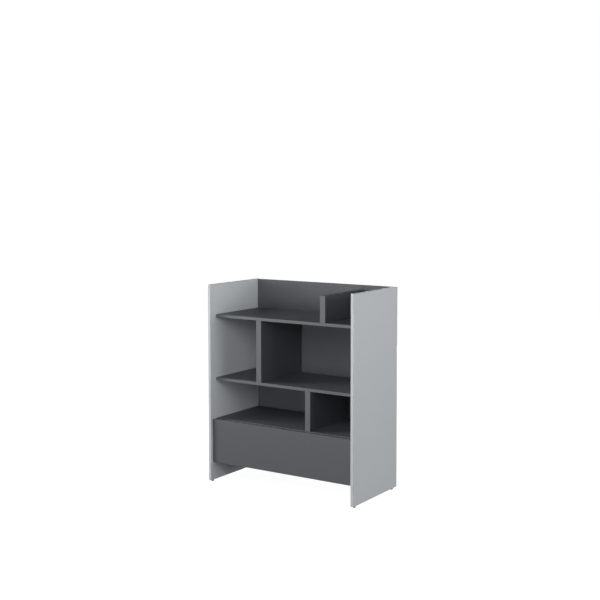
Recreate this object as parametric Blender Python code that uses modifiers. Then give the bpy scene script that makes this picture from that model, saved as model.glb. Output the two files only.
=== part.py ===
"""Half-height open bookcase with one handle-less drawer on ball-bearing slides.

Metres, +Z up, +Y to the wall, +X to the right as seen from the front.
The origin is on the floor, under the middle of the case.
"""

from math import pi

import bmesh
import bpy
from mathutils import Matrix, Vector

# ---------------------------------------------------------------- driving dimensions
WIDTH = 0.920
DEPTH = 0.460
SIDE_HEIGHT = 1.080
BOARD = 0.016
DIVIDER = 0.032
GLIDE_HEIGHT = 0.008
GAP = 0.0003  # between pieces that touch
CLEAR = 0.002  # how far a cutter runs past a face

# Heights above the lower end of the side panels
SHELF_TOP_Z = 0.898
SHELF_MIDDLE_Z = 0.550
SHELF_BOTTOM_Z = 0.324
BOTTOM_PANEL_Z = 0.103
DIVIDER_TOP_HEIGHT = 0.140
BACK_HEIGHT = 1.079

# Setbacks from the front edges of the side panels
SHELF_SETBACK = 0.048
DRAWER_SETBACK = 0.016

# Middle of each divider, from the middle of the case
DIVIDER_TOP_X = 0.247
DIVIDER_MIDDLE_X = -0.156
DIVIDER_LOWER_X = 0.156

# Drawer
FRONT_SIDE_GAP = 0.002
FRONT_TOP_DROP = 0.001
DRAWER_BOARD = 0.012
DRAWER_DEPTH = 0.402
DRAWER_SIDE_HEIGHT = 0.160
DRAWER_FLOOR_GAP = 0.012
DRAWER_BOTTOM = 0.003
BOTTOM_INSET = 0.010
GROOVE_DEPTH = 0.006
BATTEN_WIDTH = 0.050

# Ball-bearing slides: distances across them run from the side panel to the drawer
SLIDE_LENGTH = 0.400
SLIDE_SPACE = 0.0127
SLIDE_REVEAL = 0.002
SHEET = 0.0012
OUTER_TIP, OUTER_HALF, OUTER_LIP = 0.0102, 0.02275, 0.00215
MIDDLE_WEB, MIDDLE_TIP, MIDDLE_HALF = 0.0032, 0.0110, 0.0179
INNER_TIP, INNER_HALF = 0.0062, 0.0130
CAGE_LENGTH = 0.160
CAGE_SHEET = 0.0008
OUTER_CAGE_WEB, OUTER_CAGE_TIP, OUTER_CAGE_HALF = 0.0020, 0.0088, 0.0201
INNER_CAGE_WEB, INNER_CAGE_TIP, INNER_CAGE_HALF = 0.0048, 0.0107, 0.0153
OUTER_BALL_X, INNER_BALL_X = 0.0059, 0.0083
BALL_RADIUS = 0.0016
BALLS_IN_ROW = 6
BALL_PITCH = 0.026
BALL_SIDES, BALL_RINGS = 6, 5
ACCESS_RADIUS = 0.0048  # screwdriver holes in the middle member

# Fittings
SLIDE_SCREW_REACH = 0.150  # each side of the slide's middle
SLIDE_SCREW_LENGTH = 0.0115
SLIDE_SCREW_RADIUS = 0.00175
SLIDE_HEAD_RADIUS = 0.0035
CAM_INSET = 0.034
CAM_RADIUS = 0.0075
CAM_HEIGHT = 0.0125
CAM_SLOT_WIDTH, CAM_SLOT_LENGTH, CAM_SLOT_DEPTH = 0.002, 0.010, 0.0025
CAM_FRONT = 0.037
CAM_REAR = 0.050
BOLT_RADIUS = 0.0035
BOLT_THREAD_RADIUS = 0.0025
BOLT_THREAD_LENGTH = 0.0108
DIVIDER_SCREW_FRONT = 0.060
DIVIDER_SCREW_REAR = 0.080
DIVIDER_SCREW_LENGTH = 0.050
DIVIDER_SCREW_RADIUS = 0.0026
DIVIDER_SHANK_RADIUS = 0.0033
DIVIDER_HEAD_RADIUS = 0.00475
DIVIDER_HEAD_HEIGHT = 0.0035
GLIDE_RADIUS = 0.006
GLIDE_EDGE = 0.001
GLIDE_STEM_RADIUS = 0.003
GLIDE_STEM_LENGTH = 0.020
GLIDE_FRONT = 0.026
GLIDE_REAR = 0.040
FINE, COARSE = 12, 8  # sides of large and of small round pieces

# ---------------------------------------------------------------- derived places
FLOOR = GLIDE_HEIGHT  # level of the lower ends of the side panels
FRONT = -DEPTH / 2
REAR = DEPTH / 2
INNER = WIDTH / 2 - BOARD  # inner faces of the side panels
BACK_FACE = REAR - BOARD
SHELF_FRONT = FRONT + SHELF_SETBACK
BOARD_X = INNER - GAP
BOARD_REAR = BACK_FACE - GAP

DRAWER_FACE = FRONT + DRAWER_SETBACK
BOX_FRONT = DRAWER_FACE + BOARD
BOX_REAR = BOX_FRONT + DRAWER_DEPTH
BOX_X = INNER - SLIDE_SPACE
BOX_Z = FLOOR + BOTTOM_PANEL_Z + BOARD + DRAWER_FLOOR_GAP
BOX_TOP = BOX_Z + DRAWER_SIDE_HEIGHT
BOTTOM_Z = BOX_Z + BOTTOM_INSET
SLIDE_Y = BOX_FRONT + SLIDE_REVEAL + SLIDE_LENGTH / 2
SLIDE_Z = BOX_Z + DRAWER_SIDE_HEIGHT / 2

HORIZONTAL = {
    "shelf_top": FLOOR + SHELF_TOP_Z,
    "shelf_middle": FLOOR + SHELF_MIDDLE_Z,
    "shelf_bottom": FLOOR + SHELF_BOTTOM_Z,
    "bottom_panel": FLOOR + BOTTOM_PANEL_Z,
}
UPRIGHTS = {
    "divider_top": (DIVIDER_TOP_X, "shelf_top", DIVIDER_TOP_HEIGHT),
    "divider_middle": (DIVIDER_MIDDLE_X, "shelf_middle", SHELF_TOP_Z - SHELF_MIDDLE_Z - BOARD - GAP),
    "divider_lower": (DIVIDER_LOWER_X, "shelf_bottom", SHELF_MIDDLE_Z - SHELF_BOTTOM_Z - BOARD - GAP),
}
SIDES = {"left": -1, "right": 1}
CAM_Y = {"front": SHELF_FRONT + CAM_FRONT, "rear": BACK_FACE - CAM_REAR}
DIVIDER_SCREW_Y = {
    "front": SHELF_FRONT + DIVIDER_SCREW_FRONT,
    "rear": BACK_FACE - DIVIDER_SCREW_REAR,
}
GLIDE_Y = {"front": FRONT + GLIDE_FRONT, "rear": REAR - GLIDE_REAR}
SLIDE_SCREW_Y = {"front": SLIDE_Y - SLIDE_SCREW_REACH, "rear": SLIDE_Y + SLIDE_SCREW_REACH}

LIGHT_GREY = (0.47, 0.50, 0.52)
GRAPHITE = (0.105, 0.110, 0.118)

for old in list(bpy.data.objects):
    bpy.data.objects.remove(old)

PARTS = bpy.data.collections.new("open_bookcase_with_drawer")
CUTTERS = bpy.data.collections.new("cutters")
for collection in (PARTS, CUTTERS):
    bpy.context.scene.collection.children.link(collection)


# ---------------------------------------------------------------- materials
def material(name, colour, roughness, metallic=0.0):
    made = bpy.data.materials.new(name)
    made.use_nodes = True
    shader = made.node_tree.nodes["Principled BSDF"]
    shader.inputs["Base Color"].default_value = (*colour, 1.0)
    shader.inputs["Roughness"].default_value = roughness
    shader.inputs["Metallic"].default_value = metallic
    made.diffuse_color = (*colour, 1.0)
    return made


LIGHT_BOARD = material("light_grey_board", LIGHT_GREY, 0.45)
DARK_BOARD = material("graphite_board", GRAPHITE, 0.50)
HARDBOARD = material("graphite_hardboard", GRAPHITE, 0.60)
SLIDE_STEEL = material("zinc_plated_slide", (0.62, 0.63, 0.64), 0.30, 1.0)
SCREW_STEEL = material("zinc_plated_screw", (0.70, 0.70, 0.68), 0.28, 1.0)
CAM_ZINC = material("die_cast_cam", (0.50, 0.50, 0.50), 0.40, 1.0)
CAGE_STEEL = material("ball_cage_steel", (0.66, 0.66, 0.66), 0.25, 1.0)
GLIDE_PLASTIC = material("glide_plastic", (0.02, 0.02, 0.02), 0.55)


# ---------------------------------------------------------------- mesh helpers
def add_box(mesh, low, high):
    """Adds a closed box between two corners."""
    size = Vector(high) - Vector(low)
    middle = (Vector(high) + Vector(low)) / 2
    matrix = Matrix.Translation(middle) @ Matrix.Diagonal((*size, 1.0))
    bmesh.ops.create_cube(mesh, size=1.0, matrix=matrix)


def add_cone(mesh, start, end, radius, end_radius=None, segments=COARSE):
    """Adds a closed cylinder, or a cone, from start to end."""
    along = Vector(end) - Vector(start)
    turn = Vector((0, 0, 1)).rotation_difference(along).to_matrix().to_4x4()
    bmesh.ops.create_cone(
        mesh,
        cap_ends=True,
        segments=segments,
        radius1=radius,
        radius2=radius if end_radius is None else end_radius,
        depth=along.length,
        matrix=Matrix.Translation((Vector(start) + Vector(end)) / 2) @ turn,
    )


def mesh_of(name, build):
    """A mesh with the shapes that build(bmesh) adds."""
    filled = bmesh.new()
    build(filled)
    bmesh.ops.recalc_face_normals(filled, faces=filled.faces)
    data = bpy.data.meshes.new(name)
    filled.to_mesh(data)
    filled.free()
    return data


def place(name, data, finish, location, turn=(0, 0, 0), parent=None):
    """One piece at a world location, under an optional empty that is not turned."""
    piece = bpy.data.objects.new(name, data)
    if not data.materials:
        data.materials.append(finish)
    PARTS.objects.link(piece)
    piece.location = location
    piece.rotation_euler = turn
    if parent is not None:
        piece.parent = parent
        piece.location = Vector(location) - parent.location
    return piece


def board(name, low, high, finish, parent=None):
    """A flat board between two world corners, with its origin in its middle."""
    half = (Vector(high) - Vector(low)) / 2
    data = mesh_of(name, lambda mesh: add_box(mesh, -half, half))
    return place(name, data, finish, (Vector(low) + Vector(high)) / 2, parent=parent)


def boolean(piece, name, operation, build):
    """Cuts or joins the shapes that build(bmesh) adds, in world coordinates."""
    other = bpy.data.objects.new(name, mesh_of(name, build))
    CUTTERS.objects.link(other)
    other.hide_render = True
    other.display_type = "WIRE"
    modifier = piece.modifiers.new(name, "BOOLEAN")
    modifier.operation = operation
    modifier.solver = "EXACT"
    modifier.object = other


def drill(piece, name, holes):
    """Cuts separate round holes: each is (start, end, radius[, end_radius[, segments]])."""

    def build(mesh):
        for hole in holes:
            add_cone(mesh, *hole)

    boolean(piece, name, "DIFFERENCE", build)


def finished_mesh(piece):
    """The mesh of a piece with its modifiers applied; the piece and its cutters go."""
    bpy.context.view_layer.update()
    graph = bpy.context.evaluated_depsgraph_get()
    data = bpy.data.meshes.new_from_object(piece.evaluated_get(graph))
    for other in [modifier.object for modifier in piece.modifiers]:
        bpy.data.objects.remove(other)
    bpy.data.objects.remove(piece)
    return data


def turned(name, shape, profile, finish, location, turn, steps, parent=None):
    """A turned piece: its profile is (radius, height), top to bottom down the outer side."""
    data = bpy.data.meshes.get(shape)
    if data is None:
        data = bpy.data.meshes.new(shape)
        points = [(radius, 0.0, height) for radius, height in profile]
        data.from_pydata(points, [(i, i + 1) for i in range(len(points) - 1)], [])
    piece = place(name, data, finish, location, turn, parent)
    screw = piece.modifiers.new("turn", "SCREW")
    screw.steps = steps
    screw.render_steps = steps
    screw.use_merge_vertices = True
    screw.merge_threshold = 0.00001
    screw.use_smooth_shade = True
    return piece


def channel(web, tip, half, sheet, lip=0.0):
    """Outline (x, z) of a C section from the outside of its web to the tips of its flanges."""
    step = sheet if tip > web else -sheet
    lower = [(web, -half), (tip, -half)]
    if lip:
        lower += [(tip, lip - half), (tip - step, lip - half), (tip - step, sheet - half)]
    else:
        lower += [(tip, sheet - half)]
    lower += [(web + step, sheet - half)]
    return lower + [(x, -z) for x, z in reversed(lower)]


def extruded(name, outline, length):
    """Mesh of an (x, z) outline drawn out along Y, its middle at the origin."""
    curve = bpy.data.curves.new(name, "CURVE")
    curve.dimensions = "2D"
    curve.fill_mode = "BOTH"
    curve.extrude = length / 2
    spline = curve.splines.new("POLY")
    spline.points.add(len(outline) - 1)
    for point, (x, z) in zip(spline.points, outline):
        point.co = (x, z, 0.0, 1.0)
    spline.use_cyclic_u = True
    drawn = bpy.data.objects.new(name, curve)
    CUTTERS.objects.link(drawn)
    bpy.context.view_layer.update()
    graph = bpy.context.evaluated_depsgraph_get()
    data = bpy.data.meshes.new_from_object(drawn.evaluated_get(graph))
    bpy.data.objects.remove(drawn)
    data.transform(Matrix.Rotation(pi / 2, 4, "X"))
    solid = bmesh.new()
    solid.from_mesh(data)
    bmesh.ops.remove_doubles(solid, verts=solid.verts, dist=0.00001)
    bmesh.ops.recalc_face_normals(solid, faces=solid.faces)
    solid.to_mesh(data)
    solid.free()
    data.materials.clear()
    return data


def empty(name, location):
    """The place of a moving body's slide axis."""
    made = bpy.data.objects.new(name, None)
    made.location = location
    PARTS.objects.link(made)
    return made


# ---------------------------------------------------------------- case
def side_panel(side, sign):
    """A light grey side panel with its pilot holes for cam bolts, slide screws and glides."""
    inner, outer = sign * INNER, sign * WIDTH / 2
    low = (min(inner, outer), FRONT, FLOOR)
    high = (max(inner, outer), REAR, FLOOR + SIDE_HEIGHT)
    panel = board(f"side_panel_{side}", low, high, LIGHT_BOARD)
    mouth = inner - sign * CLEAR
    holes = []
    for level in HORIZONTAL.values():
        for y in CAM_Y.values():
            z = level + BOARD / 2
            end = inner + sign * (BOLT_THREAD_LENGTH + GAP)
            holes.append(((mouth, y, z), (end, y, z), BOLT_THREAD_RADIUS + GAP))
    for y in SLIDE_SCREW_Y.values():
        end = inner + sign * (SLIDE_SCREW_LENGTH - SHEET)
        holes.append(((mouth, y, SLIDE_Z), (end, y, SLIDE_Z), SLIDE_SCREW_RADIUS + 2 * GAP))
    for y in GLIDE_Y.values():
        x = (inner + outer) / 2
        top = FLOOR + GLIDE_STEM_LENGTH + GAP
        holes.append(((x, y, FLOOR - CLEAR), (x, y, top), GLIDE_STEM_RADIUS + GAP))
    drill(panel, f"holes_side_panel_{side}", holes)


def horizontal_board(name, level):
    """A graphite board between the side panels, bored for two cam fittings at each end."""
    low = (-BOARD_X, SHELF_FRONT, level)
    high = (BOARD_X, BOARD_REAR, level + BOARD)
    flat = board(name, low, high, DARK_BOARD)
    cams, bolts = [], []
    for sign in SIDES.values():
        for y in CAM_Y.values():
            x = sign * (INNER - CAM_INSET)
            z = level + BOARD / 2
            mouth, end = (x, y, level - CLEAR), (x, y, level + CAM_HEIGHT + GAP)
            cams.append((mouth, end, CAM_RADIUS + GAP, None, FINE))
            bolts.append(((sign * (INNER + CLEAR), y, z), (x, y, z), BOLT_RADIUS + GAP))
    drill(flat, f"cam_bores_{name}", cams)
    drill(flat, f"bolt_bores_{name}", bolts)


def divider(name, x, shelf, height):
    """A graphite upright on a shelf, held by two countersunk screws from below it."""
    under = HORIZONTAL[shelf]
    base = under + BOARD
    low = (x - DIVIDER / 2, SHELF_FRONT, base + GAP)
    high = (x + DIVIDER / 2, BOARD_REAR, base + height)
    upright = board(name, low, high, DARK_BOARD)
    pilots, shanks, heads = [], [], []
    for spot, y in DIVIDER_SCREW_Y.items():
        tip = under + DIVIDER_SCREW_LENGTH + GAP
        pilots.append(((x, y, base - CLEAR), (x, y, tip), DIVIDER_SCREW_RADIUS + GAP))
        shanks.append(((x, y, under - CLEAR), (x, y, base + CLEAR), DIVIDER_SHANK_RADIUS + GAP))
        head_end = under + DIVIDER_HEAD_HEIGHT + GAP
        head = DIVIDER_HEAD_RADIUS + GAP
        heads.append(((x, y, under - CLEAR), (x, y, head_end), head, None, FINE))
        divider_screw(f"{name}_screw_{spot}", (x, y, under))
    drill(upright, f"pilots_{name}", pilots)
    drill(bpy.data.objects[shelf], f"shank_holes_{name}", shanks)
    drill(bpy.data.objects[shelf], f"head_holes_{name}", heads)


def divider_screw(name, location):
    """A one-piece connector screw that points up, its head flush with the shelf's underside."""
    shoulder = BOARD - GAP
    profile = [
        (0.0, DIVIDER_SCREW_LENGTH),
        (DIVIDER_SCREW_RADIUS, DIVIDER_SCREW_LENGTH - DIVIDER_SCREW_RADIUS),
        (DIVIDER_SCREW_RADIUS, shoulder),
        (DIVIDER_SHANK_RADIUS, shoulder),
        (DIVIDER_SHANK_RADIUS, DIVIDER_HEAD_HEIGHT),
        (DIVIDER_HEAD_RADIUS, 0.0),
        (0.0, 0.0),
    ]
    turned(name, "divider_screw", profile, SCREW_STEEL, location, (0, 0, 0), COARSE)


def cam_fitting_mesh():
    """A cam housing with its bolt to the left, at the underside of a board's end."""

    def housing(mesh):
        add_cone(mesh, (0, 0, 0), (0, 0, CAM_HEIGHT), CAM_RADIUS, None, FINE)

    def bolt(mesh):
        z = BOARD / 2
        add_cone(mesh, (0, 0, z), (-CAM_INSET + GAP, 0, z), BOLT_RADIUS)

    def thread(mesh):
        z = BOARD / 2
        reach = CAM_INSET + BOLT_THREAD_LENGTH
        add_cone(mesh, (-CAM_RADIUS, 0, z), (-reach, 0, z), BOLT_THREAD_RADIUS)

    def slot(mesh):
        half_length, half_width = CAM_SLOT_LENGTH / 2, CAM_SLOT_WIDTH / 2
        low = (-half_width, -half_length, -CLEAR)
        add_box(mesh, low, (half_width, half_length, CAM_SLOT_DEPTH))

    fitting = bpy.data.objects.new("cam_fitting", mesh_of("cam_fitting", housing))
    CUTTERS.objects.link(fitting)
    boolean(fitting, "cam_bolt", "UNION", bolt)
    boolean(fitting, "cam_thread", "UNION", thread)
    boolean(fitting, "cam_slot", "DIFFERENCE", slot)
    return finished_mesh(fitting)


def cam_fittings():
    """Two fittings at each end of every horizontal board."""
    data = cam_fitting_mesh()
    for shelf, level in HORIZONTAL.items():
        for side, sign in SIDES.items():
            for spot, y in CAM_Y.items():
                location = (sign * (INNER - CAM_INSET), y, level)
                turn = (0, 0, 0) if sign < 0 else (0, 0, pi)
                place(f"cam_{shelf}_{side}_{spot}", data, CAM_ZINC, location, turn)


def back_panel():
    low = (-BOARD_X, BACK_FACE, FLOOR + BOTTOM_PANEL_Z)
    high = (BOARD_X, REAR, FLOOR + BACK_HEIGHT)
    board("back_panel", low, high, DARK_BOARD)


def glides():
    """Push-in plastic glides under the four corners."""
    seat = GLIDE_HEIGHT - GAP
    profile = [
        (0.0, GLIDE_HEIGHT + GLIDE_STEM_LENGTH),
        (GLIDE_STEM_RADIUS, GLIDE_HEIGHT + GLIDE_STEM_LENGTH - GLIDE_EDGE),
        (GLIDE_STEM_RADIUS, seat),
        (GLIDE_RADIUS, seat),
        (GLIDE_RADIUS, GLIDE_EDGE),
        (GLIDE_RADIUS - GLIDE_EDGE, 0.0),
        (0.0, 0.0),
    ]
    for side, sign in SIDES.items():
        for spot, y in GLIDE_Y.items():
            location = (sign * (WIDTH - BOARD) / 2, y, 0.0)
            name = f"glide_{side}_{spot}"
            turned(name, "glide", profile, GLIDE_PLASTIC, location, (0, 0, 0), FINE)


# ---------------------------------------------------------------- drawer
def drawer(axis):
    """The front and its box: the bottom lies in grooves and passes under the back."""
    groove_z = (BOTTOM_Z - GAP, BOTTOM_Z + DRAWER_BOTTOM + GAP)
    inside_x = BOX_X - DRAWER_BOARD
    groove_x = inside_x + GROOVE_DEPTH
    groove_y = BOX_FRONT - GROOVE_DEPTH

    front_x = INNER - FRONT_SIDE_GAP
    front_top = HORIZONTAL["shelf_bottom"] + BOARD - FRONT_TOP_DROP
    low = (-front_x, DRAWER_FACE, HORIZONTAL["bottom_panel"])
    front = board("drawer_front", low, (front_x, BOX_FRONT, front_top), DARK_BOARD, axis)

    def front_groove(mesh):
        low = (-groove_x, groove_y, groove_z[0])
        add_box(mesh, low, (groove_x, BOX_FRONT + CLEAR, groove_z[1]))

    boolean(front, "groove_drawer_front", "DIFFERENCE", front_groove)

    for side, sign in SIDES.items():
        faces = sorted((sign * inside_x, sign * BOX_X))
        low = (faces[0], BOX_FRONT + GAP, BOX_Z)
        panel = board(f"drawer_side_{side}", low, (faces[1], BOX_REAR, BOX_TOP), DARK_BOARD, axis)

        def side_groove(mesh):
            walls = sorted((sign * (inside_x - CLEAR), sign * groove_x))
            low = (walls[0], BOX_FRONT - CLEAR, groove_z[0])
            add_box(mesh, low, (walls[1], BOX_REAR + CLEAR, groove_z[1]))

        boolean(panel, f"groove_drawer_side_{side}", "DIFFERENCE", side_groove)
        web = SLIDE_SPACE - GAP - SHEET
        tip = sign * (INNER - web - SLIDE_SCREW_LENGTH - GAP)
        mouth = sign * (BOX_X + CLEAR)
        radius = SLIDE_SCREW_RADIUS + 2 * GAP
        holes = [((mouth, y, SLIDE_Z), (tip, y, SLIDE_Z), radius) for y in SLIDE_SCREW_Y.values()]
        drill(panel, f"holes_drawer_side_{side}", holes)

    bottom_x = groove_x - GAP
    low = (-bottom_x, groove_y + GAP, BOTTOM_Z)
    board("drawer_bottom", low, (bottom_x, BOX_REAR, BOTTOM_Z + DRAWER_BOTTOM), HARDBOARD, axis)
    back_x = inside_x - GAP
    low = (-back_x, BOX_REAR - DRAWER_BOARD, groove_z[1])
    board("drawer_back", low, (back_x, BOX_REAR, BOX_TOP), DARK_BOARD, axis)
    low = (-BATTEN_WIDTH / 2, BOX_FRONT + GAP, BOX_Z)
    high = (BATTEN_WIDTH / 2, BOX_REAR, groove_z[0])
    board("drawer_bottom_batten", low, high, DARK_BOARD, axis)


# ---------------------------------------------------------------- slides
def cage_mesh(name, outline, ball_x, ball_z):
    """A ball cage: a thin channel with a row of balls through each flange."""

    def balls(mesh):
        for row in (-1, 1):
            for i in range(BALLS_IN_ROW):
                y = (i - (BALLS_IN_ROW - 1) / 2) * BALL_PITCH
                bmesh.ops.create_uvsphere(
                    mesh,
                    u_segments=BALL_SIDES,
                    v_segments=BALL_RINGS,
                    radius=BALL_RADIUS,
                    matrix=Matrix.Translation((ball_x, y, row * ball_z)),
                )

    cage = bpy.data.objects.new(name, extruded(name, outline, CAGE_LENGTH))
    CUTTERS.objects.link(cage)
    boolean(cage, f"balls_{name}", "UNION", balls)
    return finished_mesh(cage)


def slide_meshes():
    """Each member's mesh, drawn for the left side with x = 0 on the side panel."""
    outer = channel(GAP, OUTER_TIP, OUTER_HALF, SHEET, OUTER_LIP)
    middle = channel(MIDDLE_WEB, MIDDLE_TIP, MIDDLE_HALF, SHEET)
    inner = channel(SLIDE_SPACE - GAP, INNER_TIP, INNER_HALF, SHEET)
    outer_cage = channel(OUTER_CAGE_WEB, OUTER_CAGE_TIP, OUTER_CAGE_HALF, CAGE_SHEET)
    inner_cage = channel(INNER_CAGE_WEB, INNER_CAGE_TIP, INNER_CAGE_HALF, CAGE_SHEET)
    outer_ball_z = (OUTER_HALF - SHEET + MIDDLE_HALF) / 2
    inner_ball_z = (MIDDLE_HALF - SHEET + INNER_HALF) / 2
    return {
        "slide_outer": extruded("slide_outer", outer, SLIDE_LENGTH),
        "slide_middle": extruded("slide_middle", middle, SLIDE_LENGTH),
        "slide_inner": extruded("slide_inner", inner, SLIDE_LENGTH),
        "ball_cage_outer": cage_mesh("ball_cage_outer", outer_cage, OUTER_BALL_X, outer_ball_z),
        "ball_cage_inner": cage_mesh("ball_cage_inner", inner_cage, INNER_BALL_X, inner_ball_z),
    }


def countersink(piece, name, head_x, into):
    """Opens a member's web for two screws whose flat heads lie at head_x and point into."""
    slack = GAP * 2**0.5
    above, below = CLEAR / 4, SHEET + CLEAR / 4
    holes = []
    for y in SLIDE_SCREW_Y.values():
        start = (head_x - into * above, y, SLIDE_Z)
        end = (head_x + into * below, y, SLIDE_Z)
        wide = SLIDE_HEAD_RADIUS + slack + above
        narrow = SLIDE_HEAD_RADIUS + slack - below
        holes.append((start, end, wide, narrow, FINE))
    drill(piece, name, holes)


def open_for_screwdriver(piece, name, wall, sign):
    """Holes in a middle member's web, in line with the screws of the outer member."""
    holes = []
    for y in SLIDE_SCREW_Y.values():
        start = (wall - sign * (MIDDLE_WEB - CLEAR / 4), y, SLIDE_Z)
        end = (wall - sign * (MIDDLE_WEB + SHEET + CLEAR / 4), y, SLIDE_Z)
        holes.append((start, end, ACCESS_RADIUS, None, FINE))
    drill(piece, name, holes)


def slide_screw(name, head_x, y, into, parent):
    """A short countersunk screw through a member's web."""
    profile = [
        (0.0, 0.0),
        (SLIDE_HEAD_RADIUS, 0.0),
        (SLIDE_SCREW_RADIUS, SLIDE_SCREW_RADIUS - SLIDE_HEAD_RADIUS),
        (SLIDE_SCREW_RADIUS, SLIDE_SCREW_RADIUS - SLIDE_SCREW_LENGTH),
        (0.0, -SLIDE_SCREW_LENGTH),
    ]
    turn = (0, -pi / 2, 0) if into > 0 else (0, pi / 2, 0)
    location = (head_x, y, SLIDE_Z)
    turned(name, "slide_screw", profile, SCREW_STEEL, location, turn, COARSE, parent)


def slides(drawer_axis):
    meshes = slide_meshes()
    for side, sign in SIDES.items():
        wall = sign * INNER
        turn = (0, 0, 0) if sign < 0 else (0, 0, pi)
        middle = (wall, SLIDE_Y, SLIDE_Z)
        axes = {"slide_outer": None, "slide_inner": drawer_axis}
        for moving in ("slide_middle", "ball_cage_outer", "ball_cage_inner"):
            axes[moving] = empty(f"{moving}_{side}_axis", middle)
        for shape, axis in axes.items():
            finish = CAGE_STEEL if "cage" in shape else SLIDE_STEEL
            data = meshes[shape].copy()
            member = place(f"{shape}_{side}", data, finish, middle, turn, axis)
            if shape == "slide_outer":
                head_x = wall - sign * (GAP + SHEET)
                countersink(member, f"countersinks_outer_{side}", head_x, sign)
                for spot, y in SLIDE_SCREW_Y.items():
                    slide_screw(f"screw_slide_outer_{side}_{spot}", head_x, y, sign, None)
            if shape == "slide_middle":
                open_for_screwdriver(member, f"access_holes_{side}", wall, sign)
            if shape == "slide_inner":
                head_x = wall - sign * (SLIDE_SPACE - GAP - SHEET)
                countersink(member, f"countersinks_inner_{side}", head_x, -sign)
                for spot, y in SLIDE_SCREW_Y.items():
                    name = f"screw_slide_inner_{side}_{spot}"
                    slide_screw(name, head_x, y, -sign, drawer_axis)


def main():
    for side, sign in SIDES.items():
        side_panel(side, sign)
    for name, level in HORIZONTAL.items():
        horizontal_board(name, level)
    for name, (x, shelf, height) in UPRIGHTS.items():
        divider(name, x, shelf, height)
    cam_fittings()
    back_panel()
    glides()
    drawer_axis = empty("drawer_axis", (0, SLIDE_Y, SLIDE_Z))
    drawer(drawer_axis)
    slides(drawer_axis)


main()
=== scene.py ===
"""Looks of the open bookcase with one drawer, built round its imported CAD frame.

Metres, +Z up, +Y to the wall, +X to the right as seen from the front. Every piece is drawn
where its CAD node lies at rest, and rides on the same body.
"""

from math import cos, pi, radians, sin

import bmesh
import bpy
from mathutils import Matrix, Vector


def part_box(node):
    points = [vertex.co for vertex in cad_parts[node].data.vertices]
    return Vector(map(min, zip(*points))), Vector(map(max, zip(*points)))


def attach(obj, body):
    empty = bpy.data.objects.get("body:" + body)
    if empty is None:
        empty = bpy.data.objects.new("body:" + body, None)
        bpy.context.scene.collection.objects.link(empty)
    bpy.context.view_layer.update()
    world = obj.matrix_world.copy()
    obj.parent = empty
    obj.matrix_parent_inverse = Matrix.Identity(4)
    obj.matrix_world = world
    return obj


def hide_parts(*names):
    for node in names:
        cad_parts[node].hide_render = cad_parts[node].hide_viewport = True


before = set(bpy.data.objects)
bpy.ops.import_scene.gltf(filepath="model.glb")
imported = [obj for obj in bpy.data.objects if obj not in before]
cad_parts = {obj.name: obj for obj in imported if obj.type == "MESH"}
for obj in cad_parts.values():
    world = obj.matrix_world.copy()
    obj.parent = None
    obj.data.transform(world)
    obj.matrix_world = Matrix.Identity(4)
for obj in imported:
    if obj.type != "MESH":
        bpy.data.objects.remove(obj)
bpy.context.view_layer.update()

# ---------------------------------------------------------------- names shared with the CAD
SIDES = {"left": -1, "right": 1}  # with the sign of x
SPOTS = ("front", "rear")
SHELVES = ("shelf_top", "shelf_middle", "shelf_bottom", "bottom_panel")
DIVIDERS = {"divider_top": "shelf_top", "divider_middle": "shelf_middle", "divider_lower": "shelf_bottom"}

# ---------------------------------------------------------------- sizes shared with the CAD
GAP = 0.0003  # between pieces that touch
SHEET = 0.0012  # slide steel
CAGE_SHEET = 0.0008
CAM_RADIUS, CAM_HEIGHT = 0.0075, 0.0125
BOLT_LEVEL = 0.008  # height of a cam bolt above the board's underside
BOLT_REACH = 0.034  # from a cam's middle to the side panel
BOLT_RADIUS, BOLT_THREAD_RADIUS, BOLT_THREAD_LENGTH = 0.0035, 0.0025, 0.0108
CONNECTOR_LENGTH, CONNECTOR_THREAD, CONNECTOR_SHANK = 0.050, 0.0026, 0.0033
CONNECTOR_HEAD, CONNECTOR_HEAD_HEIGHT = 0.00475, 0.0035
CONNECTOR_SHANK_END = 0.016  # below the head's face
SLIDE_SCREW_LENGTH, SLIDE_SCREW_RADIUS, SLIDE_HEAD_RADIUS = 0.0115, 0.00175, 0.0035
SLIDE_SCREW_DEPTH = SLIDE_SCREW_LENGTH - SHEET - GAP  # in the board
SLIDE_SPACE = 0.0127  # between a side panel and the drawer
OUTER_TIP, OUTER_HALF, OUTER_LIP = 0.0102, 0.02275, 0.00215
MIDDLE_WEB, MIDDLE_TIP, MIDDLE_HALF = 0.0032, 0.0110, 0.0179
INNER_TIP, INNER_HALF = 0.0062, 0.0130
OUTER_CAGE = (0.0020, 0.0088, 0.0201)  # web, tip and half height
INNER_CAGE = (0.0048, 0.0107, 0.0153)
OUTER_BALL_X, INNER_BALL_X = 0.0059, 0.0083
BALL_RADIUS, BALLS_IN_ROW, BALL_PITCH = 0.0016, 6, 0.026
ACCESS_RADIUS = 0.0048  # for a screwdriver, in the middle member
GLIDE_STEM_RADIUS, GLIDE_STEM_LENGTH, GLIDE_EDGE = 0.003, 0.020, 0.001
DRAWER_BOARD = 0.012
GROOVE_DEPTH = 0.006

# ---------------------------------------------------------------- sizes of finish details
PAST = 0.002  # how far a cutter runs past a face
ARRIS = 0.0009  # rounding of the banded edges
DRAWER_ARRIS, HARDBOARD_ARRIS = 0.0007, 0.0003
BAND = 0.0014  # thickness of the edge banding
SMALL_CAM_RADIUS, SMALL_CAM_DEPTH, SMALL_BOLT_LEVEL = 0.006, 0.0095, 0.006
BACK_SCREW_X = (-0.300, 0.0, 0.300)
BACK_CAM_Z = (0.227, 0.622, 1.022)
DRAWER_FIXING_Z = (0.174, 0.264)

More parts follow.
